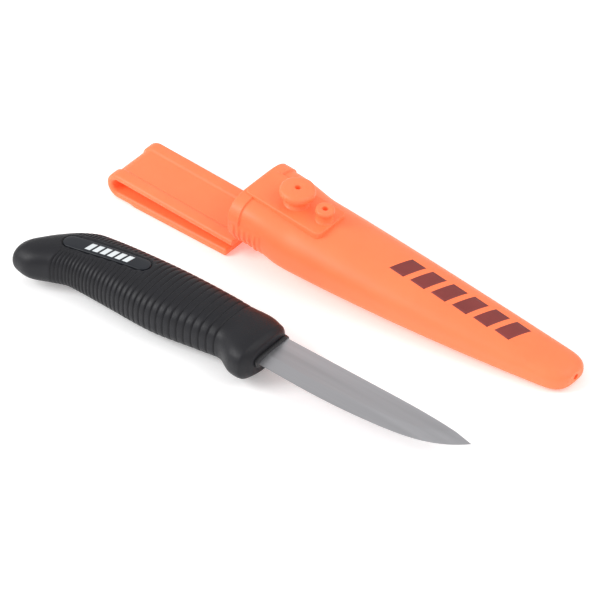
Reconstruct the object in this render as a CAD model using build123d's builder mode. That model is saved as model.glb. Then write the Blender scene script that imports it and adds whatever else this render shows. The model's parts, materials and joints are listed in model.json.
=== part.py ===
from build123d import *
import os
from math import asin, cos, degrees, sin

# Rigging knife and its belt sheath, laid out side by side: the knife on its side, its spine
# away from the front, and the sheath on its back, with the belt loop to the left.
# Origin: on the surface that the set lies on, under the middle of the belt loop's tail.
# +X runs along the sheath and the knife towards their tips, +Y towards the spine, +Z up.
# All sizes are in millimetres.

os.makedirs("parts", exist_ok=True)

# ------------------------------------------------------------------ belt loop sizes
strap_width = 30.2            # across both rims
strap_thickness = 3.2         # at the rims
strap_edge_radius = 1.4       # rounding of the rims' outer edges
rim_width = 6.2               # each rim beside the sunk middle panel
panel_depth = 0.9             # how far the middle panel is sunk
fold_inner_radius = 3.1       # inside the fold, which sets the height of the belt slot
loop_length = 70.0            # outside of the fold to the mouth of the sheath
tail_end_gap = 2.0            # between the tail's end and the mouth
tail_panel_run = 8.0          # how far the sunk panel runs on from the fold into the tail
latch_setback = 10.0          # latch post's middle to the mouth
latch_length = 4.0            # latch post, along the strap
latch_width = 22.0            # latch post and lug, across the strap
latch_clearance = 0.5         # post to lug, and post to strap
lug_depth = 1.6               # how far the lug hangs below the strap

# ---------------------------------------------------------------- sheath body sizes
body_length = 165.0           # mouth to tip
mouth_width = 39.2
tip_width = 19.4              # where the rounded tip begins
mouth_thickness = 26.0
tip_thickness = 10.0
spine_side = 22.8             # straight side of the body, from the strap's middle line
tip_round = 11.0              # length of the rounded tip
tip_rest_back = 7.2           # the underside meets the surface this far before the tip
tip_wall = 6.0                # solid plastic at the tip, which the drain hole passes
wall = 2.2                    # plastic wall of the sides and front
mouth_cut = 1.0               # the cavity is cut from this far in front of the mouth
width_taper = 1.8             # power of the curve that the width follows to the tip
thickness_taper = 1.5         # power of the curve that the thickness follows
mouth_roundness = 0.55        # corner radius of the section at the mouth, to half its height
body_roundness = 0.86         # the same, over most of the body
corner_run = 24.0             # length over which the one turns into the other
body_shares = (0.2, 0.4, 0.6, 0.8, 1.0)   # sections along the body, before its rounded tip
tip_shares = (0.5, 0.8, 0.96)             # and along the rounded tip
drain_radius = 1.2
collar_length = 6.0           # raised band round the front of the mouth
collar_rise = 0.8
side_rib_count = 5            # finger ribs on each side of the mouth
side_rib_pitch = 2.8
side_rib_width = 1.7
side_rib_rise = 1.0
side_rib_start = 3.0
side_rib_height = 16.0        # finger ribs stand this high above the back
side_rib_foot = 1.2           # and start this far above it

# ------------------------------------------------------------- button plate and buttons
plate_length = 42.0
plate_width = 19.4
plate_middle = 2.4            # across, from the strap's middle line
plate_rise = 1.5              # above the body's crown
plate_corner = 2.5
plate_setback = 0.8           # behind the mouth
plate_sink = 1.5              # how far its sides reach down past the crown
large_head_radius = 7.9
large_head_thickness = 4.6
large_head_rounding = 1.84
large_neck_radius = 4.8
large_neck_height = 4.2
small_head_radius = 4.2
small_head_thickness = 2.4
small_head_rounding = 0.72
small_neck_radius = 3.4
small_neck_height = 3.8
large_button_along = 22.0     # from the mouth
button_spacing = 15.2
button_hole_radius = 1.3
button_hole_depth = 4.0
spigot_radius = 2.2           # button's peg in the plate
spigot_length = 1.2
spigot_clearance = 0.05

# ------------------------------------------------------------------------ blade sizes
blade_length = 100.0
blade_width = 19.2            # at the handle
blade_belly = 0.5             # the edge bows out this much beyond the width at the handle
blade_thickness = 2.5
spine_drop = 2.4              # the spine falls this much in its last part
spine_drop_length = 42.0
point_slope = -0.11           # the spine's slope at the point
belly_reach = 0.28            # the edge bows out most at this share of the length
edge_rise = ((0.86, 0.64), (0.62, 0.925))   # the edge towards the point: shares of reach, width
bevel_width = 6.2             # ground bevel, measured in from the edge
flat_setback = 8.7            # the flat of the blade ends this far before the point
root_depth = 3.0              # full-width blade held inside the handle
tang_cover = 28.5             # handle that runs on behind the tang's end
tang_width = 11.0
tang_taper = 4.0              # the tang is this much narrower at its end
tang_overlap = 0.5            # how far it runs into the full-width blade

# ----------------------------------------------------------------------- handle sizes
handle_length = 124.5
grip_width = 31.2
grip_thickness = 21.8
guard_width = 31.8
guard_thickness = 18.8
waist_width = 26.8
rear_waist_width = 27.4
pommel_width = 30.0
pommel_thickness = 19.6
rubber_thickness = 3.0        # soft overmould over the hard core
nose_rise = 1.2               # core's collar, in front of the overmould
nose_thickness = 5.6
nose_corner = 2.2
nose_margin = 1.3             # round the blade's width
nose_depth = 9.0              # how far the nose runs back into the handle
badge_length = 43.0
badge_width = 8.2
badge_thickness = 0.3         # each badge lies on the overmould
badge_end_gap = 37.5          # badge's middle, in front of the handle's rear end
badge_below = 13.4            # and below the blade's spine line
badge_tilt = 10.5             # degrees, the badge's front end towards the spine

# ------------------------------------------------------------------------- the layout
knife_ahead = 60.6            # handle's front to the sheath's mouth, along X
knife_aside = 50.8            # blade's spine to the strap's middle line, across

fold_outer_radius = fold_inner_radius + strap_thickness
loop_straight = loop_length - fold_outer_radius
tail_length = loop_straight - tail_end_gap
panel_width = strap_width - 2 * rim_width
tang_length = handle_length - tang_cover
badge_behind = handle_length - badge_end_gap
hinge_x = -tail_length / 2

# The sheath slopes from the top of the fold down to the underside of its tip.
tip_rest = loop_straight + body_length - tip_rest_back
slope = asin((fold_outer_radius + fold_inner_radius) / tip_rest)
along = Vector(cos(slope), 0, -sin(slope))
upward = Vector(sin(slope), 0, cos(slope))
fold_centre = Vector(hinge_x, 0, fold_outer_radius)
mouth_foot = fold_centre + upward * fold_inner_radius + along * loop_straight
sheath = Plane(origin=mouth_foot, x_dir=along, z_dir=upward)
knife_height = grip_thickness / 2 + badge_thickness
knife = Plane(origin=(tail_length / 2 + tail_end_gap + knife_ahead, -knife_aside, knife_height))


def across(base, x, y=0, z=0):
    """Plane square to base's X axis at a point of base: its own X runs along base's Y."""
    return Plane(origin=base.from_local_coords((x, y, z)), x_dir=base.y_dir, z_dir=base.x_dir)


def loft_sections(base, stations):
    """Solid through stations (x, middle y, middle z, width, height, roundness) of base."""
    with BuildPart() as solid:
        for x, y, z, width, height, roundness in stations:
            with BuildSketch(across(base, x, y, z)):
                RectangleRounded(width, height, roundness * min(width, height) / 2)
        loft()
    return solid.part


# ------------------------------------------------------------------ sheath body's form
def body_width(x):
    return mouth_width - (mouth_width - tip_width) * (x / body_length) ** width_taper


def body_thickness(x):
    return mouth_thickness - (mouth_thickness - tip_thickness) * (x / body_length) ** thickness_taper


def body_station(x, end, side, back, front):
    """One section of the body, inset from its outside and rounded off towards end."""
    past_round = max(0.0, (x - (end - tip_round)) / tip_round)
    shrink = (1 - past_round ** 3) ** (1 / 3)
    width = body_width(max(x, 0)) - 2 * side
    height = body_thickness(max(x, 0)) - back - front
    middle_y = spine_side - body_width(max(x, 0)) / 2
    middle_z = back + height / 2
    blend = min(1.0, max(x, 0) / corner_run)
    roundness = mouth_roundness + (body_roundness - mouth_roundness) * blend
    return (x, middle_y, middle_z, width * shrink, height * shrink, roundness)


def body_solid(start, end, side, back, front):
    """The body's form from start to a rounded end, inset by side, back and front."""
    straight = end - tip_round
    places = [start, collar_length]
    places += [straight * share for share in body_shares]
    places += [straight + tip_round * share for share in tip_shares]
    stations = [body_station(x, end, side, back, front) for x in places]
    return loft_sections(sheath, stations)


body_outside = body_solid(0, body_length, 0, 0, 0)
body_cavity = body_solid(-mouth_cut, body_length - tip_wall, wall, strap_thickness, wall)
body_collar = body_solid(0, body_length, -collar_rise, -collar_rise, -collar_rise)
body_ribs = body_solid(0, body_length, -side_rib_rise, -side_rib_rise, -side_rib_rise)

# The raised band and the finger ribs are what is left of two slightly larger bodies.
body_middle = spine_side - mouth_width / 2
past_body = 2 * mouth_width   # wide enough to cut right across the body
with BuildPart() as collar_band:
    add(body_collar)
    band_plane = across(sheath, 0, body_middle, mouth_thickness)
    with BuildSketch(band_plane):
        Rectangle(past_body, 2 * (mouth_thickness - side_rib_height))
    extrude(amount=collar_length, mode=Mode.INTERSECT)

with BuildPart() as finger_ribs:
    add(body_ribs)
    with BuildSketch(sheath.offset(side_rib_foot)):
        rib_run = side_rib_pitch * (side_rib_count - 1)
        with Locations((side_rib_start + rib_run / 2, body_middle)):
            with GridLocations(side_rib_pitch, 0, side_rib_count, 1):
                Rectangle(side_rib_width, past_body)
    extrude(amount=side_rib_height - side_rib_foot, mode=Mode.INTERSECT)

# ----------------------------------------------------------------------- sheath shell
with BuildPart() as sheath_shell:
    add(body_outside)
    add(collar_band.part)
    add(finger_ribs.part)
    add(body_cavity, mode=Mode.SUBTRACT)
    tip_middle = spine_side - tip_width / 2
    with BuildSketch(across(sheath, body_length, tip_middle, tip_thickness / 2)):
        Circle(drain_radius)
    extrude(amount=-2 * tip_wall, mode=Mode.SUBTRACT)
sheath_shell.part.label = "sheath_shell"

# ------------------------------------------------- button plate, on the body's front
plate_drop = mouth_thickness - body_thickness(plate_length)
plate_lean = degrees(asin(plate_drop / plate_length))
plate_corner_point = sheath.from_local_coords((0, plate_middle, mouth_thickness + plate_rise))
plate_top = Plane(origin=plate_corner_point, x_dir=along, z_dir=upward).rotated((0, plate_lean, 0))

with BuildPart() as button_plate:
    with BuildSketch(plate_top):
        with Locations(((plate_length + plate_setback) / 2, 0)):
            RectangleRounded(plate_length - plate_setback, plate_width, plate_corner)
    extrude(amount=-plate_rise - plate_sink)
    add(body_outside, mode=Mode.SUBTRACT)
    add(collar_band.part, mode=Mode.SUBTRACT)
    with BuildSketch(plate_top):
        with Locations((large_button_along, 0), (large_button_along + button_spacing, 0)):
            Circle(spigot_radius + spigot_clearance)
    extrude(amount=-spigot_length, mode=Mode.SUBTRACT)
button_plate.part.label = "button_plate"

# ---------------------------------------------------------------------------- buttons
large_button_foot = plate_top.from_local_coords((large_button_along, 0, 0))
small_button_foot = plate_top.from_local_coords((large_button_along + button_spacing, 0, 0))
large_button_plane = Plane(large_button_foot, plate_top.x_dir, plate_top.z_dir)
small_button_plane = Plane(small_button_foot, plate_top.x_dir, plate_top.z_dir)

with BuildPart() as large_button:
    with BuildSketch(large_button_plane.offset(-spigot_length + spigot_clearance)):
        Circle(spigot_radius)
    extrude(amount=spigot_length)
    with BuildSketch(large_button_plane):
        Circle(large_neck_radius)
    extrude(amount=large_neck_height)
    with BuildSketch(large_button_plane.offset(large_neck_height)):
        Circle(large_head_radius)
    extrude(amount=large_head_thickness)
    head_rims = large_button.edges().filter_by(GeomType.CIRCLE).sort_by(SortBy.RADIUS)[-2:]
    fillet(head_rims, large_head_rounding)
    with BuildSketch(large_button_plane.offset(large_neck_height + large_head_thickness)):
        Circle(button_hole_radius)
    extrude(amount=-button_hole_depth, mode=Mode.SUBTRACT)
large_button.part.label = "large_button"

with BuildPart() as small_button:
    with BuildSketch(small_button_plane.offset(-spigot_length + spigot_clearance)):
        Circle(spigot_radius)
    extrude(amount=spigot_length)
    with BuildSketch(small_button_plane):
        Circle(small_neck_radius)
    extrude(amount=small_neck_height)
    with BuildSketch(small_button_plane.offset(small_neck_height)):
        Circle(small_head_radius)
    extrude(amount=small_head_thickness)
    head_rims = small_button.edges().filter_by(GeomType.CIRCLE).sort_by(SortBy.RADIUS)[-2:]
    fillet(head_rims, small_head_rounding)
    with BuildSketch(small_button_plane.offset(small_neck_height + small_head_thickness)):
        Circle(button_hole_radius)
    extrude(amount=-button_hole_depth, mode=Mode.SUBTRACT)
small_button.part.label = "small_button"

# -------------------------------------------------------- belt strap, fold and tail
# The strap's section: two rims with a sunk panel between them on the outer side.
strap_middle = strap_thickness / 2
latch_x = -latch_setback

with BuildPart() as belt_strap:
    with BuildSketch(across(sheath, 0, 0, strap_middle)):
        RectangleRounded(strap_width, strap_thickness, strap_edge_radius)
        with Locations((0, strap_middle)):
            Rectangle(panel_width, 2 * panel_depth, mode=Mode.SUBTRACT)
    extrude(amount=-loop_straight)
    with BuildSketch(sheath):
        with Locations((latch_x + latch_length + latch_clearance, 0)):
            Rectangle(latch_length, latch_width)
    extrude(amount=-lug_depth)
belt_strap.part.label = "belt_strap"

with BuildPart() as strap_fold:
    fold_plane = Plane(origin=fold_centre, x_dir=sheath.y_dir, z_dir=along)
    fold_middle = fold_inner_radius + strap_middle
    with BuildSketch(fold_plane):
        with Locations((0, fold_middle)):
            RectangleRounded(strap_width, strap_thickness, strap_edge_radius)
        with Locations((0, fold_outer_radius)):
            Rectangle(panel_width, 2 * panel_depth, mode=Mode.SUBTRACT)
    revolve(axis=Axis(fold_centre, (0, -1, 0)), revolution_arc=180 + degrees(slope))
strap_fold.part.label = "strap_fold"

mouth_x = mouth_foot.X
post_height = mouth_foot.Z + (latch_setback - latch_length / 2) * sin(slope) - latch_clearance
with BuildPart() as belt_tail:
    with BuildSketch(Plane(origin=(hinge_x, 0, strap_middle), x_dir=(0, 1, 0), z_dir=(1, 0, 0))):
        RectangleRounded(strap_width, strap_thickness, strap_edge_radius)
    extrude(amount=tail_length)
    with BuildSketch(Plane.XY):
        with Locations((hinge_x, 0)):
            Rectangle(2 * tail_panel_run, panel_width)
    extrude(amount=panel_depth, mode=Mode.SUBTRACT)
    with BuildSketch(Plane.XY.offset(strap_middle)):
        with Locations((mouth_x + latch_x, 0)):
            Rectangle(latch_length, latch_width)
    extrude(amount=post_height - strap_middle)
belt_tail.part.label = "belt_tail"

# ------------------------------------------------------------------------------ blade
# Half of the blade: the full outline at the middle plane, drawn in to the flat above it.
spine_break = blade_length - spine_drop_length


def blade_outline(inset, reach):
    """Blade outline with its edge drawn in by inset and its point at reach."""
    tip_y = -spine_drop * ((reach - spine_break) / spine_drop_length) ** 2
    edge_root = -blade_width + inset
    with BuildLine() as outline:
        Line((-root_depth, 0), (spine_break, 0))
        spine_curve = Spline((spine_break, 0), (reach, tip_y), tangents=[(1, 0), (1, point_slope)])
        Spline(
            spine_curve @ 1,
            *[(reach * share, edge_root * width) for share, width in edge_rise],
            (reach * belly_reach, edge_root - blade_belly),
            (0, edge_root),
        )
        Line((0, edge_root), (-root_depth, edge_root))
        Line((-root_depth, edge_root), (-root_depth, 0))
    return outline.line


tang_start = -root_depth + tang_overlap
with BuildPart() as blade:
    with BuildSketch(knife):
        add(blade_outline(0, blade_length))
        make_face()
    with BuildSketch(knife.offset(blade_thickness / 2)):
        add(blade_outline(bevel_width, blade_length - flat_setback))
        make_face()
    loft(ruled=True)
    mirror(about=knife)
    with BuildSketch(knife.offset(-blade_thickness / 2)):
        with BuildLine():
            Polyline(
                (tang_start, -blade_width / 2 + tang_width / 2),
                (-tang_length, -blade_width / 2 + (tang_width - tang_taper) / 2),
                (-tang_length, -blade_width / 2 - (tang_width - tang_taper) / 2),
                (tang_start, -blade_width / 2 - tang_width / 2),
                close=True,
            )
        make_face()
    extrude(amount=blade_thickness)
blade.part.label = "blade"


# ---------------------------------------------------------------------- handle's form
# Each row: distance behind the handle's front, middle line below the blade's spine line,
# width, thickness and roundness of the section's corners.
handle_rows = (
    (handle_length - 0.6, 24.6, 6.0, 6.0, 0.9),
    (handle_length - 4.0, 23.0, pommel_width * 0.60, pommel_thickness * 0.78, 0.95),
    (handle_length - 11.0, 20.7, pommel_width, pommel_thickness, 0.95),
    (handle_length - 17.5, 17.3, pommel_width * 0.96, pommel_thickness, 0.9),
    (handle_length - 27.0, 14.3, rear_waist_width, pommel_thickness, 0.88),
    (handle_length - 46.0, 13.1, (rear_waist_width + grip_width) / 2, grip_thickness - 0.6, 0.86),
    (handle_length / 2 - 8.0, 12.4, grip_width, grip_thickness, 0.86),
    (28.5, 10.4, waist_width + 1.2, (grip_thickness + guard_thickness) / 2, 0.86),
    (18.5, 9.9, waist_width, guard_thickness, 0.84),
    (8.0, 12.0, guard_width, guard_thickness, 0.8),
    (3.0, 12.9, guard_width - 1.2, guard_thickness - 0.8, 0.8),
    (0.0, 11.6, guard_width - 9.0, guard_thickness - 5.0, 0.8),
)


def handle_solid(inset, end_inset=0):
    """The handle's form, drawn in by inset all round and by end_inset at its ends."""
    stations = []
    for behind, below, width, thickness, roundness in handle_rows:
        if end_inset <= behind <= handle_length - end_inset:
            size = (width - 2 * inset, thickness - 2 * inset)
            stations.append((-behind, -below, 0, size[0], size[1], roundness))
    return loft_sections(knife, stations)


handle_outside = handle_solid(0)
handle_over_badge = handle_solid(-badge_thickness)
core_form = handle_solid(rubber_thickness, rubber_thickness)

# -------------------------------------------------------------------------- hard core
with BuildPart() as core_blank:
    add(core_form)
    with BuildSketch(across(knife, -nose_depth)):
        with Locations((-blade_width / 2, 0)):
            RectangleRounded(blade_width + 2 * nose_margin, nose_thickness, nose_corner)
    extrude(amount=nose_depth + nose_rise)

with BuildPart() as handle_core:
    add(core_blank.part)
    add(blade.part, mode=Mode.SUBTRACT)
handle_core.part.label = "handle_core"

# ------------------------------------------------------------ badges, one on each side
with BuildPart() as badge_prism:
    with BuildSketch(knife):
        with Locations((-badge_behind, -badge_below)):
            SlotOverall(badge_length, badge_width, rotation=badge_tilt)
    extrude(amount=grip_thickness)

with BuildPart() as upper_badge:
    add(badge_prism.part)
    add(handle_over_badge, mode=Mode.INTERSECT)
    add(handle_outside, mode=Mode.SUBTRACT)
upper_badge.part.label = "upper_badge"

with BuildPart() as lower_badge:
    add(upper_badge.part.mirror(knife))
lower_badge.part.label = "lower_badge"

# -------------------------------------------------------------------- soft overmould
with BuildPart() as grip_overmould:
    add(handle_outside)
    add(core_blank.part, mode=Mode.SUBTRACT)
grip_overmould.part.label = "grip_overmould"

# ----------------------------------------------------------------------- one STEP each
for piece in (sheath_shell, button_plate, large_button, small_button, belt_strap, strap_fold,
              belt_tail, blade, handle_core, upper_badge, lower_badge, grip_overmould):
    export_step(piece.part, f"parts/{piece.part.label}.step")
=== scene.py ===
import json
import math

import bmesh
import bpy
import numpy as np
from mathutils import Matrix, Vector


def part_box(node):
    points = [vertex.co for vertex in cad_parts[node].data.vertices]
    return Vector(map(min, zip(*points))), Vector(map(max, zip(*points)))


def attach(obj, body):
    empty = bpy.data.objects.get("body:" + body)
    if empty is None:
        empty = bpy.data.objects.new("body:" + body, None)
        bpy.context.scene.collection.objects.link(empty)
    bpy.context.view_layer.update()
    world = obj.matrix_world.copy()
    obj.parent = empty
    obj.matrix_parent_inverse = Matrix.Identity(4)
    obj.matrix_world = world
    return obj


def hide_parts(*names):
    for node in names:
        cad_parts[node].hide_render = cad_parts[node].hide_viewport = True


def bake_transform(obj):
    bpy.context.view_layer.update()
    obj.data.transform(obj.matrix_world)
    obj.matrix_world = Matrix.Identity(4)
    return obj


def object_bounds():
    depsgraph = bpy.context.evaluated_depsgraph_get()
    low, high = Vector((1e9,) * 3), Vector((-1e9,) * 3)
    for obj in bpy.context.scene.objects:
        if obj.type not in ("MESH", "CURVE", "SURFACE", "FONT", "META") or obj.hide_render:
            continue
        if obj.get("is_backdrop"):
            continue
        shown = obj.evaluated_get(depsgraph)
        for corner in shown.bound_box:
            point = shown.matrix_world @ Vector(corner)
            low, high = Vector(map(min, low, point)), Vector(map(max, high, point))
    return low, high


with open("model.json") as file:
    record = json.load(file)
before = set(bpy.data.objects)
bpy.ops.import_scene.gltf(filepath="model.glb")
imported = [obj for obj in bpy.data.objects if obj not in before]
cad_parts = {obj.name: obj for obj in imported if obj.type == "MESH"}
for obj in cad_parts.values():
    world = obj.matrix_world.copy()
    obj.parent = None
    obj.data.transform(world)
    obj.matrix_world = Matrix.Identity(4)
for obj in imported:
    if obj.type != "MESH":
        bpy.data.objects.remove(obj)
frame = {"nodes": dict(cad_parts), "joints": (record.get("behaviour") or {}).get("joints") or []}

# The rigging knife and its sheath. Lengths here are in millimetres in the row frame, and
# every mesh is scaled to metres as it is made.
MM = 0.001
cad_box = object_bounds()

# ------------------------------------------------------------------ places from the frame
hinge = next(joint for joint in frame["joints"] if joint["name"] == "belt_loop_tail")
HINGE_X = hinge["pos_m"][0] / MM
fold_low, fold_high = (Vector(corner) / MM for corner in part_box("strap_fold"))
tail_high = Vector(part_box("belt_tail")[1]) / MM
blade_low, blade_high = (Vector(corner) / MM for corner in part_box("blade"))

STRAP_WIDTH = fold_high.y - fold_low.y
STRAP_THICKNESS = 3.2
FOLD_OUTER = fold_high.z / 2
FOLD_INNER = FOLD_OUTER - STRAP_THICKNESS
TAIL_LENGTH = tail_high.x - HINGE_X
TAIL_END_GAP = 2.0             # between the tail's end and the sheath's mouth
LOOP_STRAIGHT = TAIL_LENGTH + TAIL_END_GAP
BODY_LENGTH = 165.0
TIP_ROUND = 11.0               # length of the body's rounded tip
TIP_REST_BACK = 7.15           # the underside rests on the surface this far before the tip
BLADE_LENGTH = 100.0

SLOPE = math.asin((FOLD_OUTER + FOLD_INNER) / (LOOP_STRAIGHT + BODY_LENGTH - TIP_REST_BACK))
ALONG = np.array((math.cos(SLOPE), 0.0, -math.sin(SLOPE)))
UPWARD = np.array((math.sin(SLOPE), 0.0, math.cos(SLOPE)))
ASIDE = np.array((0.0, 1.0, 0.0))
FOLD_CENTRE = np.array((HINGE_X, 0.0, FOLD_OUTER))
MOUTH_FOOT = FOLD_CENTRE + UPWARD * FOLD_INNER + ALONG * LOOP_STRAIGHT

KNIFE_FRONT = np.array((blade_high.x - BLADE_LENGTH, blade_high.y, (blade_low.z + blade_high.z) / 2))


# ------------------------------------------------------------------------- mesh helpers
def smoothstep(low, high, value):
    share = np.clip((np.asarray(value, float) - low) / (high - low), 0, 1)
    return share * share * (3 - 2 * share)


def monotone(xs, ys, x):
    """Smooth curve through points that never swings past them."""
    xs, ys = np.asarray(xs, float), np.asarray(ys, float)
    steps, rises = np.diff(xs), np.diff(ys)
    slopes = rises / steps
    tangents = np.zeros_like(ys)
    tangents[0], tangents[-1] = slopes[0], slopes[-1]
    for i in range(1, len(xs) - 1):
        if slopes[i - 1] * slopes[i] > 0:
            tangents[i] = 2 * slopes[i - 1] * slopes[i] / (slopes[i - 1] + slopes[i])
    i = np.clip(np.searchsorted(xs, x) - 1, 0, len(steps) - 1)
    h = steps[i]
    t = (x - xs[i]) / h
    return (ys[i] * (2 * t**3 - 3 * t**2 + 1) + tangents[i] * h * (t**3 - 2 * t**2 + t)
            + ys[i + 1] * (3 * t**2 - 2 * t**3) + tangents[i + 1] * h * (t**3 - t**2))


def in_sheath(x, y, z):
    """Points of the sheath's own frame, from its mouth, in the row frame."""
    x, y, z = np.broadcast_arrays(x, y, z)
    return MOUTH_FOOT + x[..., None] * ALONG + y[..., None] * ASIDE + z[..., None] * UPWARD


def in_knife(x, y, z):
    """Points of the knife's own frame, from the blade's spine at the handle's front."""
    return KNIFE_FRONT + np.stack(np.broadcast_arrays(x, y, z), axis=-1)


def make_piece(name, points, faces, material, smooth_angle=40):
    mesh = bpy.data.meshes.new(name)
    mesh.from_pydata((np.asarray(points) * MM).tolist(), [], faces)
    mesh.validate()
    work = bmesh.new()
    work.from_mesh(mesh)
    bmesh.ops.remove_doubles(work, verts=work.verts, dist=1e-6)
    bmesh.ops.recalc_face_normals(work, faces=work.faces)
    work.to_mesh(mesh)
    work.free()
    for polygon in mesh.polygons:
        polygon.use_smooth = True
    mesh.set_sharp_from_angle(angle=math.radians(smooth_angle))
    piece = bpy.data.objects.new(name, mesh)
    bpy.context.scene.collection.objects.link(piece)
    mesh.materials.append(material)
    return piece


def tube_faces(rings, around, closed=False):
    """Quads between rings of points, and from the last ring to the first when closed."""
    faces = []
    for ring in range(rings if closed else rings - 1):
        below, above = ring * around, (ring + 1) % rings * around
        for i in range(around):
            j = (i + 1) % around
            faces.append((below + i, below + j, above + j, above + i))
    return faces


def capped(faces, rings, around):
    last = (rings - 1) * around
    return faces + [tuple(reversed(range(around))), tuple(range(last, last + around))]


def superellipse(angles, half_width, half_height, power):
    c, s = np.cos(angles), np.sin(angles)
    return (half_width * np.sign(c) * np.abs(c) ** (2 / power),
            half_height * np.sign(s) * np.abs(s) ** (2 / power))


# ---------------------------------------------------------------------------- materials
def node_material(name, colour, roughness, metallic=0.0, variation=0.06, grain=900.0, bump=0.1,
                  bump_distance=0.00005, roughness_swing=0.08, stretch=(1, 1, 1), **sockets):
    """Principled material with a slow colour drift, fine grain in the roughness and bump."""
    material = bpy.data.materials.new(name)
    material.use_nodes = True
    tree = material.node_tree
    shader = tree.nodes["Principled BSDF"]
    shader.inputs["Metallic"].default_value = metallic
    for socket, value in sockets.items():
        shader.inputs[socket.replace("_", " ")].default_value = value
    place = tree.nodes.new("ShaderNodeTexCoord")
    scale = tree.nodes.new("ShaderNodeMapping")
    scale.inputs["Scale"].default_value = stretch
    tree.links.new(place.outputs["Object"], scale.inputs["Vector"])

    def noise(size, detail):
        node = tree.nodes.new("ShaderNodeTexNoise")
        node.inputs["Scale"].default_value = size
        node.inputs["Detail"].default_value = detail
        tree.links.new(scale.outputs["Vector"], node.inputs["Vector"])
        return node.outputs["Fac"]

    drift = tree.nodes.new("ShaderNodeValToRGB")
    drift.color_ramp.elements[0].position = 0.3
    drift.color_ramp.elements[1].position = 0.7
    drift.color_ramp.elements[0].color = (*[channel * (1 - variation) for channel in colour], 1)
    drift.color_ramp.elements[1].color = (*[min(1, channel * (1 + variation)) for channel in colour], 1)
    tree.links.new(noise(grain / 20, 3), drift.inputs["Fac"])
    tree.links.new(drift.outputs["Color"], shader.inputs["Base Color"])

    fine = noise(grain, 4)
    spread = tree.nodes.new("ShaderNodeMapRange")
    spread.inputs["To Min"].default_value = roughness - roughness_swing
    spread.inputs["To Max"].default_value = roughness + roughness_swing
    tree.links.new(fine, spread.inputs["Value"])
    tree.links.new(spread.outputs["Result"], shader.inputs["Roughness"])

    relief = tree.nodes.new("ShaderNodeBump")
    relief.inputs["Strength"].default_value = bump
    relief.inputs["Distance"].default_value = bump_distance
    tree.links.new(fine, relief.inputs["Height"])
    tree.links.new(relief.outputs["Normal"], shader.inputs["Normal"])
    return material


# The orange emission is a painted glow: it keeps the shaded sides and slots bright red-orange where no
# lamp reaches.
ORANGE = node_material(
    "orange_plastic", (1.0, 0.215, 0.085), 0.46, variation=0.03, grain=1400, bump=0.12,
    Subsurface_Weight=0.12, Subsurface_Scale=0.002, Specular_IOR_Level=0.42,
    Emission_Color=(1.0, 0.10, 0.015, 1), Emission_Strength=0.22)
MAROON = node_material("print_ink", (0.22, 0.03, 0.026), 0.5, variation=0.08, grain=2200, bump=0.05)
RUBBER = node_material(
    "grip_rubber", (0.010, 0.010, 0.013), 0.44, variation=0.12, grain=2200, bump=0.7,
    bump_distance=0.00016, roughness_swing=0.16, Specular_IOR_Level=0.30)
BLACK = node_material("core_plastic", (0.012, 0.012, 0.014), 0.28, variation=0.1, grain=1500, bump=0.06)
BADGE = node_material("badge_plastic", (0.012, 0.014, 0.019), 0.36, variation=0.08, grain=1200,
                      bump=0.05, Specular_IOR_Level=0.35)
WHITE = node_material("badge_ink", (0.72, 0.76, 0.78), 0.45, variation=0.05, grain=1600, bump=0.04)
STEEL = node_material(
    "blade_steel", (0.50, 0.495, 0.515), 0.38, metallic=1.0, variation=0.14, grain=2400, bump=0.5,
    bump_distance=0.00004, roughness_swing=0.12, stretch=(0.03, 1.0, 1.0))

# ------------------------------------------------------------------------ sheath's body
MOUTH_WIDTH = 39.2
WIDTH_TAPER = 1.8              # power of the curve that the width follows to the tip
THICKNESS_TAPER = 1.5          # and of the one that the thickness follows
WIDEST_SHARE = 0.44            # the body is widest at this share of its thickness
FRONT_POWER = 2.45             # superellipse power of the front's crown
MOUTH_SQUARENESS = 1.7         # added to it at the mouth, and gone after SQUARE_RUN
SQUARE_RUN = (8, 30)
BACK_POWER = 2.3               # the back's power at the mouth
BACK_SQUARENESS = 1.3          # added to it once past the finger ribs, over BACK_RUN
BACK_RUN = (10, 26)
TIP_WIDTH = 19.4
MOUTH_THICKNESS = 26.0
TIP_THICKNESS = 10.0
SPINE_SIDE = 22.8
WALL = 2.2
TIP_WALL = 6.0                 # solid plastic at the tip, which the drain hole passes
TIP_REACH = 0.955              # share of the rounded tip that is built, before its flat end
DRAIN_RADIUS = 1.2
COLLAR_LENGTH = 6.0
COLLAR_RISE = 0.8
BLOCK_RISE = 0.45              # low block that carries the finger ribs
BLOCK_LENGTH = 17.6
RIB_START = 3.0
RIB_PITCH = 2.8
RIB_COUNT = 5
RIB_RISE = 0.6
PINCH = 0.16                  # how far the mouth's lower corners are drawn in
AROUND = 160
ANGLES = np.linspace(0, 2 * math.pi, AROUND, endpoint=False)


def body_width(x):
    return MOUTH_WIDTH - (MOUTH_WIDTH - TIP_WIDTH) * (x / BODY_LENGTH) ** WIDTH_TAPER


def body_thickness(x):
    return MOUTH_THICKNESS - (MOUTH_THICKNESS - TIP_THICKNESS) * (x / BODY_LENGTH) ** THICKNESS_TAPER


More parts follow.
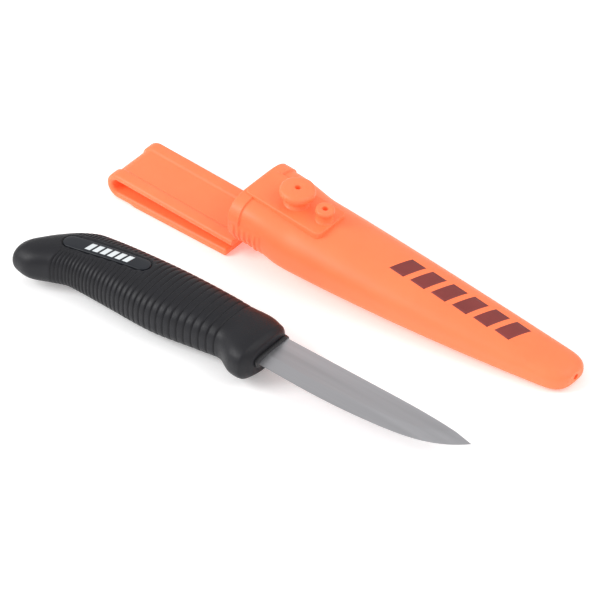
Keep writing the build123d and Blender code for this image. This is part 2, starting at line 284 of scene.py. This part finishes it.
def body_section(x, side=0.0, back=0.0, front=0.0, end=BODY_LENGTH):
    """Outline of the body at x, drawn in by side, back and front and rounded off at end."""
    place = min(max(x, 0.0), BODY_LENGTH)
    shrink = (1 - min(max((place - end + TIP_ROUND) / TIP_ROUND, 0.0), 1.0) ** 3) ** (1 / 3)
    thickness = body_thickness(place)
    half_width = (body_width(place) / 2 - side) * shrink
    low = thickness / 2 - (thickness / 2 - back) * shrink
    high = thickness / 2 + (thickness / 2 - front) * shrink
    middle = low + WIDEST_SHARE * (high - low)
    square = 1 - smoothstep(*SQUARE_RUN, place)
    back_power = BACK_POWER + BACK_SQUARENESS * smoothstep(*BACK_RUN, place)
    y_top, z_top = superellipse(ANGLES, half_width, high - middle, FRONT_POWER + MOUTH_SQUARENESS * square)
    y_low, z_low = superellipse(ANGLES, half_width, middle - low, back_power)
    upper = np.sin(ANGLES) >= 0
    y = np.where(upper, y_top, y_low)
    z = np.where(upper, z_top, z_low)
    y = np.where(upper, y, y * (1 - PINCH * square * np.minimum(-z / (middle - low), 1)))
    return SPINE_SIDE - body_width(place) / 2 + y, middle + z


def mouth_relief(x, y, z):
    """How far the collar band and the finger ribs stand out near the mouth."""
    collar = COLLAR_RISE * (1 - smoothstep(COLLAR_LENGTH - 0.4, COLLAR_LENGTH, x))
    collar *= smoothstep(15.5, 16.5, z)
    block = BLOCK_RISE * (1 - smoothstep(BLOCK_LENGTH - 1, BLOCK_LENGTH, x))
    block *= 1 - smoothstep(15.5, 16.5, z)
    phase = (x - RIB_START) / RIB_PITCH
    in_row = (phase > -0.5) & (phase < RIB_COUNT - 0.5)
    rib = RIB_RISE * smoothstep(-0.25, 0.55, np.cos(2 * math.pi * phase)) * in_row
    rib *= smoothstep(3.5, 5.0, z) * (1 - smoothstep(13.5, 15.5, z))
    half_width = body_width(max(x, 0.0)) / 2
    middle_y = SPINE_SIDE - half_width
    side = smoothstep(0.80, 0.93, np.abs(y - middle_y) / half_width)
    return collar + (block + rib) * side


def body_ring(x, inset=0.0):
    """Outer ring of points with the relief added, square to the section's outline."""
    y, z = body_section(x, inset, inset, inset)
    dy, dz = np.roll(y, -1) - np.roll(y, 1), np.roll(z, -1) - np.roll(z, 1)
    length = np.hypot(dy, dz) + 1e-9
    relief = mouth_relief(x, y, z)
    return in_sheath(x, y + dz / length * relief, z - dy / length * relief)


def drain_ring(x):
    tip_middle = SPINE_SIDE - TIP_WIDTH / 2
    return in_sheath(x, tip_middle + DRAIN_RADIUS * np.cos(ANGLES),
                     TIP_THICKNESS / 2 + DRAIN_RADIUS * np.sin(ANGLES))


def cavity_ring(x):
    y, z = body_section(x, WALL, STRAP_THICKNESS, WALL, BODY_LENGTH - TIP_WALL + 0.5)
    return in_sheath(x, y, z)


def make_body():
    """Closed wall: up the drain hole, over the tip, along the outside and back inside."""
    from_tip = (1 - np.linspace(1, 0, 26)) ** 1.8
    tip = BODY_LENGTH - TIP_ROUND + TIP_ROUND * (1 - from_tip) * TIP_REACH
    rings = [drain_ring(BODY_LENGTH - TIP_WALL - 1.0), drain_ring(BODY_LENGTH - 0.5)]
    outer_tip = body_ring(tip[0])
    hole = drain_ring(tip[0] + 0.1)
    rings += [drain_ring(tip[0] - 0.15), hole + (outer_tip - hole) * 0.08]
    rings += [hole + (outer_tip - hole) * share for share in (0.35, 0.65, 0.9)]
    rings += [body_ring(x) for x in tip]
    rings += [body_ring(x) for x in np.arange(BODY_LENGTH - TIP_ROUND - 1.0, 19.0, -1.0)]
    rings += [body_ring(x) for x in np.arange(19.0, 0.4, -0.2)]
    rings += [body_ring(x, inset) for x, inset in ((0.4, 0.0), (0.15, 0.1), (0.02, 0.3), (0.0, 0.6))]
    rings += [cavity_ring(x) for x in (0.0, 0.3, 1.0, 5.0)]
    rings += [cavity_ring(x) for x in np.arange(10.0, BODY_LENGTH - TIP_WALL - 1.5, 4.0)]
    points = np.concatenate(rings)
    return make_piece("sheath_body", points, tube_faces(len(rings), AROUND, closed=True), ORANGE, 50)


sheath_body = make_body()
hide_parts("sheath_shell")
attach(sheath_body, "sheath")


def front_height(x, y):
    """Height of the body's front above its back at a point of its plan."""
    thickness = body_thickness(x)
    middle = WIDEST_SHARE * thickness
    half_width = body_width(x) / 2
    across = np.abs(y - (SPINE_SIDE - half_width)) / half_width
    power = FRONT_POWER + MOUTH_SQUARENESS * (1 - smoothstep(*SQUARE_RUN, x))
    return middle + (thickness - middle) * np.maximum(1 - across**power, 0) ** (1 / power)


# --------------------------------------------------------------- button plate and buttons
PLATE_LENGTH = 42.0
PLATE_WIDTH = 19.4
PLATE_MIDDLE = 2.4
PLATE_RISE = 1.5
PLATE_CORNER = 2.5
PLATE_SETBACK = 0.8
LARGE_ALONG = 22.0
SMALL_ALONG = 37.2
PLATE_LEAN = math.asin((MOUTH_THICKNESS - body_thickness(PLATE_LENGTH)) / PLATE_LENGTH)


def on_plate(x, y, z):
    """Points above the plate's top face, from the mouth along its middle line."""
    x, y, z = np.broadcast_arrays(x, y, z)
    c, s = math.cos(PLATE_LEAN), math.sin(PLATE_LEAN)
    return in_sheath(x * c + z * s, PLATE_MIDDLE + y, MOUTH_THICKNESS + PLATE_RISE - x * s + z * c)


def rounded_outline(length, width, corner, steps=10):
    """Outline of a rounded rectangle about its middle, anticlockwise."""
    points = []
    for quarter, (sx, sy) in enumerate(((1, 1), (-1, 1), (-1, -1), (1, -1))):
        for step in range(steps + 1):
            angle = (quarter + step / steps) * math.pi / 2
            points.append((sx * (length / 2 - corner) + corner * math.cos(angle),
                           sy * (width / 2 - corner) + corner * math.sin(angle)))
    return np.array(points)


def make_plate():
    """Plate with softened top edges, sunk through the body's crown."""
    middle = (PLATE_LENGTH + PLATE_SETBACK) / 2
    length = PLATE_LENGTH - PLATE_SETBACK
    rings = []
    for inset, z in ((0.0, -4.2), (0.0, -0.5), (0.08, -0.25), (0.25, -0.08), (0.5, 0.0), (1.2, 0.0)):
        outline = rounded_outline(length - 2 * inset, PLATE_WIDTH - 2 * inset, PLATE_CORNER - inset)
        rings.append(on_plate(middle + outline[:, 0], outline[:, 1], z))
    around = len(rings[0])
    faces = capped(tube_faces(len(rings), around), len(rings), around)
    return make_piece("raised_plate", np.concatenate(rings), faces, ORANGE, 35)


plate = make_plate()
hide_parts("button_plate")
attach(plate, "sheath")

# Each button's outline, radius and height, from its foot to its centre hole's floor.
LARGE_PROFILE = (
    (6.2, -0.3), (5.6, 0.15), (5.05, 0.7), (4.8, 1.6), (4.8, 3.4), (5.0, 3.9), (5.6, 4.15), (6.6, 4.3),
    (7.3, 4.6), (7.75, 5.2), (7.9, 6.1), (7.85, 7.0), (7.6, 7.7), (7.0, 8.2), (6.0, 8.5), (4.5, 8.7),
    (3.0, 8.78), (1.75, 8.8), (1.45, 8.72), (1.3, 8.5), (1.3, 4.8),
)
SMALL_PROFILE = (
    (4.5, -0.3), (4.0, 0.1), (3.65, 0.6), (3.5, 1.4), (3.45, 2.8), (3.5, 3.5), (3.75, 3.8), (4.05, 4.0),
    (4.2, 4.4), (4.2, 5.3), (4.1, 5.75), (3.8, 6.05), (3.3, 6.18), (2.4, 6.2), (1.6, 6.2),
    (1.38, 6.12), (1.3, 5.9), (1.3, 2.4),
)


def make_button(name, profile, along, node):
    """Mushroom button turned from its outline, with a hole in the middle of its head."""
    turn = np.linspace(0, 2 * math.pi, 72, endpoint=False)
    rings = []
    for radius, height in profile:
        ring_x, ring_y = along + radius * np.cos(turn), radius * np.sin(turn)
        rings.append(on_plate(ring_x, ring_y, height))
    faces = capped(tube_faces(len(rings), len(turn)), len(rings), len(turn))
    button = make_piece(name, np.concatenate(rings), faces, ORANGE, 60)
    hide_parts(node)
    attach(button, "sheath")


make_button("large_mushroom_button", LARGE_PROFILE, LARGE_ALONG, "large_button")
make_button("small_mushroom_button", SMALL_PROFILE, SMALL_ALONG, "small_button")

# --------------------------------------------------------------------------- belt loop
RIM_WIDTH = 6.2
PANEL_DEPTH = 0.9
STRAP_EDGE = 1.45              # how far the rims' outer edges are rounded, across
RIDGE_HALF = 0.9               # half the width of the step down to the panel


def strap_profile():
    """Closed section of the strap: across, and outward from its inner face."""
    half, t, r = STRAP_WIDTH / 2, STRAP_THICKNESS, STRAP_EDGE
    points = []
    for angle in np.linspace(-90, 90, 13):
        lean = math.radians(angle)
        points.append((half - r + r * math.cos(lean), t / 2 + (t / 2) * math.sin(lean)))
    ridge = half - RIM_WIDTH
    for share in np.linspace(0, 1, 9):
        drop = PANEL_DEPTH * float(smoothstep(0, 1, share))
        points.append((ridge + RIDGE_HALF * (1 - 2 * share), t - drop))
    right = points
    left = [(-y, z) for y, z in reversed(right)]
    return np.array(right + left)


PROFILE = strap_profile()


def strap_ring(centre, outward, thicken=1.0, narrow=1.0, flat=0.0):
    """The strap's section set at centre on its inner face, facing outward."""
    top = PROFILE[:, 1]
    filled = np.where(top > STRAP_THICKNESS - PANEL_DEPTH - 0.01, STRAP_THICKNESS, top)
    height = top * (1 - flat) + filled * flat
    lift = (height - STRAP_THICKNESS / 2) * thicken + STRAP_THICKNESS / 2
    return centre + PROFILE[:, :1] * narrow * ASIDE + lift[:, None] * outward


def fold_ring(angle):
    """Section at an angle past the strap's end, about the fold's centre line."""
    turn = math.pi / 2 - SLOPE + angle
    outward = np.array((math.cos(turn), 0.0, math.sin(turn)))
    return strap_ring(FOLD_CENTRE + outward * FOLD_INNER, outward)


FULL_TURN = math.pi + SLOPE
SEAM_ANGLE = FULL_TURN - math.radians(48)     # where the strap's piece meets the tail's


def make_strap():
    """Upper strap and most of the fold, in one piece."""
    rings = []
    for x in np.linspace(0.9, -LOOP_STRAIGHT, 40):
        rings.append(strap_ring(MOUTH_FOOT + ALONG * x, UPWARD))
    rings += [fold_ring(angle) for angle in np.linspace(0, SEAM_ANGLE, 30)[1:]]
    around = len(PROFILE)
    faces = capped(tube_faces(len(rings), around), len(rings), around)
    strap = make_piece("loop_strap", np.concatenate(rings), faces, ORANGE, 50)
    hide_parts("belt_strap", "strap_fold")
    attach(strap, "sheath")


def make_tail():
    """Last of the fold and the lower strap, from the seam to the tail's end."""
    rings = [fold_ring(angle) for angle in np.linspace(SEAM_ANGLE, FULL_TURN, 14)]
    down = np.array((0.0, 0.0, -1.0))
    for x in np.linspace(1.0, TAIL_LENGTH - 1.2, 60):
        foot = np.array((HINGE_X + x, 0.0, STRAP_THICKNESS))
        rings.append(strap_ring(foot, down, flat=float(smoothstep(6, 10, x))))
    for x, share in ((0.7, 0.97), (0.3, 0.86), (0.08, 0.66), (0.0, 0.4)):
        foot = np.array((HINGE_X + TAIL_LENGTH - x, 0.0, STRAP_THICKNESS))
        rings.append(strap_ring(foot, down, thicken=share, narrow=1 - (1 - share) * 0.05, flat=1.0))
    around = len(PROFILE)
    faces = capped(tube_faces(len(rings), around), len(rings), around)
    tail = make_piece("loop_tail_strap", np.concatenate(rings), faces, ORANGE, 50)
    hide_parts("belt_tail")
    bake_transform(tail)


def make_block(name, low, high, body, bevel=0.5):
    """A small block with rounded edges between two corners."""
    middle = (np.array(low) + np.array(high)) / 2
    size = np.array(high) - np.array(low)
    rings = []
    for inset, z in ((bevel, low[2]), (0.0, low[2] + bevel), (0.0, high[2] - bevel), (bevel, high[2])):
        outline = rounded_outline(size[0] - 2 * inset, size[1] - 2 * inset, 0.9 - inset, 6)
        flat = np.full(len(outline), z)
        rings.append(np.column_stack((middle[0] + outline[:, 0], middle[1] + outline[:, 1], flat)))
    around = len(rings[0])
    faces = capped(tube_faces(len(rings), around), len(rings), around)
    block = make_piece(name, np.concatenate(rings), faces, ORANGE, 50)
    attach(block, body)


make_strap()
make_tail()
LATCH_X = MOUTH_FOOT[0] - 10.0
LATCH_HALF = 2.0
LATCH_SIDE = 11.0              # half the latch's width, across the strap
LATCH_GAP = 0.5
LUG_X = LATCH_X + LATCH_HALF + LATCH_GAP
make_block("latch_post", (LATCH_X - LATCH_HALF, -LATCH_SIDE, 2.6),
           (LATCH_X + LATCH_HALF, LATCH_SIDE, tail_high.z), "loop_tail")
make_block("latch_lug", (LUG_X, -LATCH_SIDE, 5.4),
           (LUG_X + 2 * LATCH_HALF, LATCH_SIDE, 7.8), "sheath")

# ---------------------------------------------------------------------- printed marks
PRINT_START = 76.0
PRINT_LENGTH = 64.0
PRINT_HEIGHT = 11.0
PRINT_BARS = 6
PRINT_SLANT = 0.35
PRINT_ASIDE = 0.5              # the bars' middle line, to the spine side of the body's
INK_LIFT = 0.05
INK_THICKNESS = 0.06


def patch(name, corner_lines, surface, material, body):
    """Thin printed patches, each between a left and a right line of a plan."""
    points, faces = [], []
    for left, right in corner_lines:
        base = len(points)
        rows, columns = len(left), 9
        for start, stop in zip(left, right):
            for share in np.linspace(0, 1, columns):
                x, y = start + (stop - start) * share
                points.append(surface(x, y, INK_LIFT))
        for row in range(rows - 1):
            for column in range(columns - 1):
                i = base + row * columns + column
                faces.append((i, i + 1, i + columns + 1, i + columns))
    mark = make_piece(name, points, faces, material, 60)
    thick = mark.modifiers.new("thickness", "SOLIDIFY")
    thick.thickness = INK_THICKNESS * MM
    thick.offset = -1
    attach(mark, body)


def slanted_bars(start, length, height, count, middle_y, slant, gap=0.3, rows=9):
    """A row of slanted bars of one width, along the middle line of a plan."""
    pitch = length / count
    bars = []
    for bar in range(count):
        ys = np.linspace(-height / 2, height / 2, rows)
        x = start + bar * pitch
        left = np.column_stack((x + slant * ys, middle_y(x) + ys))
        right = left + np.array((pitch * (1 - gap), 0.0))
        bars.append((left, right))
    return bars


def on_front(x, y, lift):
    return in_sheath(x, y, front_height(x, y) + lift)


def print_middle(x):
    return SPINE_SIDE - body_width(x) / 2 + PRINT_ASIDE


print_bars = slanted_bars(PRINT_START, PRINT_LENGTH, PRINT_HEIGHT, PRINT_BARS,
                          print_middle, PRINT_SLANT)
patch("sheath_mark", print_bars, on_front, MAROON, "sheath")

# ----------------------------------------------------------------------------- handle
# Rows: distance behind the handle's front, middle line below the spine line, width, thickness.
HANDLE_LENGTH = 124.5
BUTT_START = 119.0             # rings are closer from here to the end
HANDLE_ROWS = np.array((
    (0.0, 11.6, 22.8, 13.8), (3.0, 12.7, 30.6, 18.0), (8.0, 12.0, 31.8, 18.8), (18.5, 9.9, 26.8, 18.8),
    (28.5, 10.4, 28.0, 20.3), (54.2, 12.4, 31.2, 21.8), (78.5, 13.1, 29.3, 21.2),
    (97.5, 14.3, 27.4, 19.6), (106.0, 18.0, 26.6, 18.6), (113.0, 22.8, 24.6, 17.4),
    (119.0, 26.4, 18.0, 15.4), (122.6, 28.0, 12.6, 11.4), (124.2, 28.5, 6.0, 5.4),
    (HANDLE_LENGTH, 28.6, 0.0, 0.0),
))
GROOVE_START = 20.0            # first groove, behind the handle's front
GROOVE_END = 106.0
GROOVE_PITCH = 3.9             # first gap between grooves
PITCH_RATIO = 0.972            # each gap to the one before it
GROOVE_WIDTH = 0.75
GROOVE_DEPTH = 0.5
RIB_CROWN = 0.12
RIB_FADE_IN = (17, 19)
RIB_FADE_OUT = (105.5, 107.5)
BADGE_SEAT = 0.8               # depth of the badge's seat in the grip
BADGE_LIFT = 0.05              # badge's face above the grip
NOSE_BELOW = 9.6               # nose's middle, below the spine line
NOSE_HALF = 10.9
NOSE_THICK = 2.8
NOSE_POWER = 4.0
BADGE_LENGTH = 43.0
BADGE_WIDTH = 8.2
BADGE_BEHIND = 87.0
BADGE_BELOW = 13.4
BADGE_TILT = math.radians(10.5)
CORE_DEPTH = 3.0
HANDLE_AROUND = 128
HANDLE_ANGLES = np.linspace(0, 2 * math.pi, HANDLE_AROUND, endpoint=False)


def handle_size(behind):
    """Middle below the spine line, half width and half thickness of the handle."""
    below = monotone(HANDLE_ROWS[:, 0], HANDLE_ROWS[:, 1], behind)
    width = math.sqrt(max(monotone(HANDLE_ROWS[:, 0], HANDLE_ROWS[:, 2] ** 2, behind), 0.0))
    thickness = math.sqrt(max(monotone(HANDLE_ROWS[:, 0], HANDLE_ROWS[:, 3] ** 2, behind), 0.0))
    power = 2.15 + 0.55 * float(1 - smoothstep(104, 122, behind))
    return below, width / 2, thickness / 2, power


def groove_places():
    places, at, pitch = [], GROOVE_START, GROOVE_PITCH
    while at < GROOVE_END:
        places.append(at)
        at += pitch
        pitch *= PITCH_RATIO
    return np.array(places)


GROOVES = groove_places()


def off_badge(x, y):
    """Distance outside the badge's stadium outline, negative within it."""
    dx, dy = x + BADGE_BEHIND, y + BADGE_BELOW
    p = dx * math.cos(BADGE_TILT) + dy * math.sin(BADGE_TILT)
    q = -dx * math.sin(BADGE_TILT) + dy * math.cos(BADGE_TILT)
    beyond = np.maximum(np.abs(p) - (BADGE_LENGTH - BADGE_WIDTH) / 2, 0)
    return np.hypot(beyond, q) - BADGE_WIDTH / 2


def grip_relief(behind, y):
    """Depth of the grip's surface below its smooth form: grooves, rib crowns and badge seat."""
    gaps = np.abs(GROOVES - behind)
    nearest = int(np.argmin(gaps))
    pitch = GROOVE_PITCH * PITCH_RATIO**nearest
    groove = GROOVE_DEPTH * (1 - smoothstep(0.12, GROOVE_WIDTH / 2 + 0.12, gaps[nearest]))
    crown = RIB_CROWN * (1 - min(gaps[nearest] / (pitch / 2), 1.0)) ** 2
    ribbed = float(smoothstep(*RIB_FADE_IN, behind)) * float(1 - smoothstep(*RIB_FADE_OUT, behind))
    outside = off_badge(-behind, y)
    seat = BADGE_SEAT * (1 - smoothstep(0.0, 0.25, outside))
    return (groove + crown) * ribbed * smoothstep(1.3, 2.6, outside) + seat


def handle_ring(behind, inset=0.0, relief=True):
    below, half_width, half_thickness, power = handle_size(behind)
    half_width, half_thickness = max(half_width - inset, 0.01), max(half_thickness - inset, 0.01)
    y, z = superellipse(HANDLE_ANGLES, half_width, half_thickness, power)
    if relief:
        dy, dz = np.roll(y, -1) - np.roll(y, 1), np.roll(z, -1) - np.roll(z, 1)
        length = np.hypot(dy, dz) + 1e-9
        depth = grip_relief(behind, y - below) * min(1.0, half_thickness / 4)
        y, z = y - dz / length * depth, z + dy / length * depth
    return in_knife(-behind, y - below, z)


def nose_ring(x, half_width, half_thickness):
    y, z = superellipse(HANDLE_ANGLES, half_width, half_thickness, NOSE_POWER)
    return in_knife(x, y - NOSE_BELOW, z)


def make_grip():
    """Ribbed rubber, from the slot that the core's collar fills to the butt."""
    places = list(np.arange(0.4, BUTT_START, 0.22))
    from_end = (1 - np.linspace(0, 0.995, 26)) ** 2
    places += list(HANDLE_LENGTH - (HANDLE_LENGTH - BUTT_START) * from_end)
    rings = [nose_ring(x, NOSE_HALF, NOSE_THICK) for x in (-2.0, 0.0)]
    rings.append(handle_ring(0.0, 3.0, False))
    rings += [handle_ring(0.0, inset, False) for inset in (1.2, 0.4)]
    rings += [handle_ring(behind) for behind in places]
    faces = capped(tube_faces(len(rings), HANDLE_AROUND), len(rings), HANDLE_AROUND)
    return make_piece("ribbed_grip", np.concatenate(rings), faces, RUBBER, 70)


grip = make_grip()
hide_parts("grip_overmould")
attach(grip, "knife")


def make_core():
    """The hard core inside the grip, with its collar standing out round the blade."""
    rings = [nose_ring(x, half, thick) for x, half, thick in (
        (1.2, 10.4, 2.3), (1.1, 10.65, 2.55), (0.8, 10.8, 2.7), (-2.0, 10.8, 2.7), (-3.0, 10.8, 2.7))]
    rings += [handle_ring(behind, CORE_DEPTH, False) for behind in np.arange(4.0, 117.0, 4.0)]
    faces = capped(tube_faces(len(rings), HANDLE_AROUND), len(rings), HANDLE_AROUND)
    core = make_piece("hard_core", np.concatenate(rings), faces, BLACK, 40)
    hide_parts("handle_core")
    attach(core, "knife")


make_core()


def handle_top(x, y):
    below, half_width, half_thickness, power = handle_size(-x)
    across = min(abs(y + below) / half_width, 1.0)
    return half_thickness * (1 - across**power) ** (1 / power)


# Each ring of the badge, from its foot inwards: share of its half width, height on the grip.
BADGE_RINGS = ((0.90, -1.1), (0.90, -0.2), (0.88, -0.04), (0.83, 0.03),
               (0.6, BADGE_LIFT), (0.3, BADGE_LIFT), (0.0, BADGE_LIFT))


def from_badge(u, v):
    """Plan of the knife at a point along and across the badge."""
    x = -BADGE_BEHIND + u * math.cos(BADGE_TILT) - v * math.sin(BADGE_TILT)
    y = -BADGE_BELOW + u * math.sin(BADGE_TILT) + v * math.cos(BADGE_TILT)
    return x, y


def make_badge(name, node, side):
    """Inlay in the seat of the grip, on the upper (+1) or lower (-1) side."""
    half, cap = (BADGE_LENGTH - BADGE_WIDTH) / 2, BADGE_WIDTH / 2
    outline = []
    for step in range(25):
        angle = -math.pi / 2 + math.pi * step / 24
        outline.append((half, math.cos(angle), math.sin(angle)))
    outline += [(p, 0.0, 1.0) for p in np.linspace(half, -half, 40)[1:-1]]
    for step in range(25):
        angle = math.pi / 2 + math.pi * step / 24
        outline.append((-half, math.cos(angle), math.sin(angle)))
    outline += [(p, 0.0, -1.0) for p in np.linspace(-half, half, 40)[1:-1]]
    rings = []
    for reach, lift in BADGE_RINGS:
        ring = []
        for p, cosine, sine in outline:
            x, y = from_badge(p + cap * reach * cosine, cap * reach * sine)
            ring.append(in_knife(x, y, side * (handle_top(x, y) + lift)))
        rings.append(np.array(ring))
    around = len(outline)
    faces = tube_faces(len(rings), around) + [tuple(reversed(range(around)))]
    badge = make_piece(name, np.concatenate(rings), faces, BADGE, 50)
    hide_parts(node)
    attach(badge, "knife")


make_badge("upper_inlay", "upper_badge", 1)
make_badge("lower_inlay", "lower_badge", -1)


def on_badge(side):
    def surface(u, v, lift):
        x, y = from_badge(u, v)
        return in_knife(x, y, side * (handle_top(x, y) + BADGE_LIFT + lift))
    return surface


badge_bars = slanted_bars(-9.0, 22.0, 4.4, PRINT_BARS, lambda x: 0.0, PRINT_SLANT)
patch("upper_inlay_mark", badge_bars, on_badge(1), WHITE, "knife")
patch("lower_inlay_mark", badge_bars, on_badge(-1), WHITE, "knife")

# ------------------------------------------------------------- CAD nodes that stay as made
blade_mesh = frame["nodes"]["blade"].data
blade_mesh.materials.clear()
blade_mesh.materials.append(STEEL)

# ------------------------------------------------------------------ floor, light, camera
floor_mesh = bpy.data.meshes.new("floor")
FLOOR_HALF = 3.0               # metres, as are the lights' places
FLOOR_DROP = 0.0005
floor_corners = ((-1, -1), (1, -1), (1, 1), (-1, 1))
floor_points = [(x * FLOOR_HALF, y * FLOOR_HALF, -FLOOR_DROP) for x, y in floor_corners]
floor_mesh.from_pydata(floor_points, [], [(0, 1, 2, 3)])
floor = bpy.data.objects.new("floor", floor_mesh)
bpy.context.scene.collection.objects.link(floor)
FLOOR_PAPER = node_material("floor_paper", (0.94, 0.94, 0.94), 0.9, variation=0.005, grain=40, bump=0.01,
    Emission_Color=(1.0, 1.0, 1.0, 1), Emission_Strength=0.22)
floor_mesh.materials.append(FLOOR_PAPER)
floor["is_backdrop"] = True

world = bpy.data.worlds.new("studio")
bpy.context.scene.world = world
world.use_nodes = True
world.node_tree.nodes["Background"].inputs["Color"].default_value = (1.0, 1.0, 1.0, 1)
world.node_tree.nodes["Background"].inputs["Strength"].default_value = 0.75


def soft_light(name, place, target, size, power):
    data = bpy.data.lights.new(name, "AREA")
    data.shape = "DISK"
    data.size = size
    data.energy = power
    light = bpy.data.objects.new(name, data)
    light.location = place
    light.rotation_euler = (Vector(target) - Vector(place)).to_track_quat("-Z", "Y").to_euler()
    bpy.context.scene.collection.objects.link(light)


# The view: the middle of the picture, its direction, distance and how much it takes in.
TARGET = Vector((0.0739, -0.0173, 0.0))
AZIMUTH = math.radians(39.2)
ELEVATION = math.radians(40.65)
DISTANCE = 2.0
WIDTH_SEEN = 0.2558
LIT_POINT = (0.07, -0.02, 0)
soft_light("key", (-0.62, -0.85, 0.80), LIT_POINT, 0.7, 10.0)
soft_light("fill", (0.9, 0.3, 0.9), LIT_POINT, 1.0, 4.0)

camera_data = bpy.data.cameras.new("camera")
camera_data.sensor_width = 36
camera_data.lens = 36 * DISTANCE / WIDTH_SEEN
camera_data.clip_end = 20
camera = bpy.data.objects.new("camera", camera_data)
level = math.cos(ELEVATION)
back = Vector((math.sin(AZIMUTH) * level, -math.cos(AZIMUTH) * level, math.sin(ELEVATION)))
camera.location = TARGET + back * DISTANCE
camera.rotation_euler = (-back).to_track_quat("-Z", "Y").to_euler()
bpy.context.scene.collection.objects.link(camera)
bpy.context.scene.camera = camera
bpy.context.scene.view_settings.view_transform = "Standard"

boxes = [[list(corner) for corner in box] for box in (cad_box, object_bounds())]
